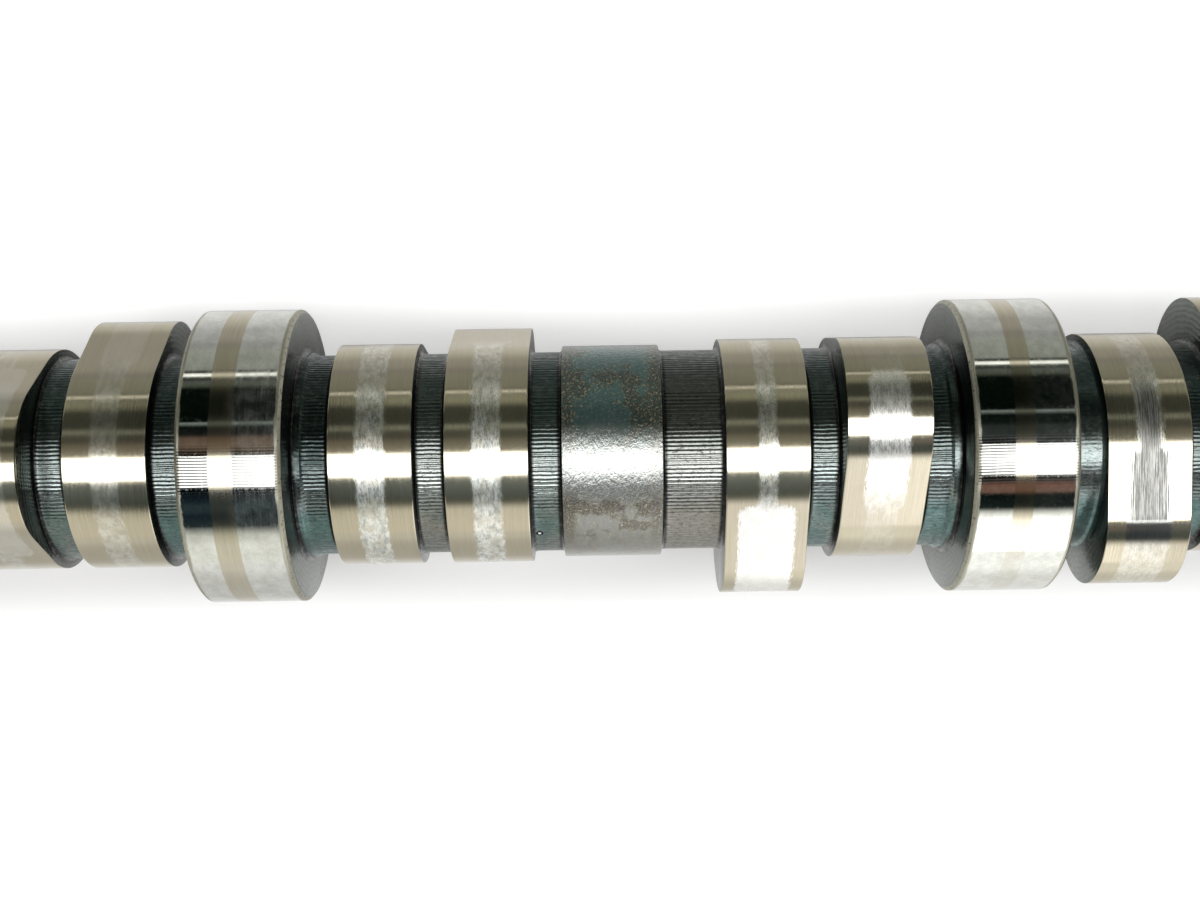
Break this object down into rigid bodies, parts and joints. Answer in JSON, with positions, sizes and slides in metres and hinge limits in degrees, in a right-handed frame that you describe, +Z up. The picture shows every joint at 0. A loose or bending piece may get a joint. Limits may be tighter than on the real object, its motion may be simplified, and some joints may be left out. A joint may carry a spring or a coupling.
{
  "type": "camshaft",
  "caption": "Steel engine camshaft lying on its bearing journals: ground journals and cam lobes in pairs along a slimmer ribbed shaft, with a plain gear seat at the front end.",
  "frame": {"origin": "on the shaft's axis, in the middle of the front journal", "axes": "+X along the axis towards the rear end, +Z up as it lies"},
  "size_m": [0.546, 0.0494, 0.0494],
  "materials": {
    "camshaft": "ground and oiled steel: bright journals, satin lobes, dark ribbed necks and blued middle sections"
  },
  "bodies": {
    "root": {"camshaft": "camshaft"}
  },
  "joints": []
}
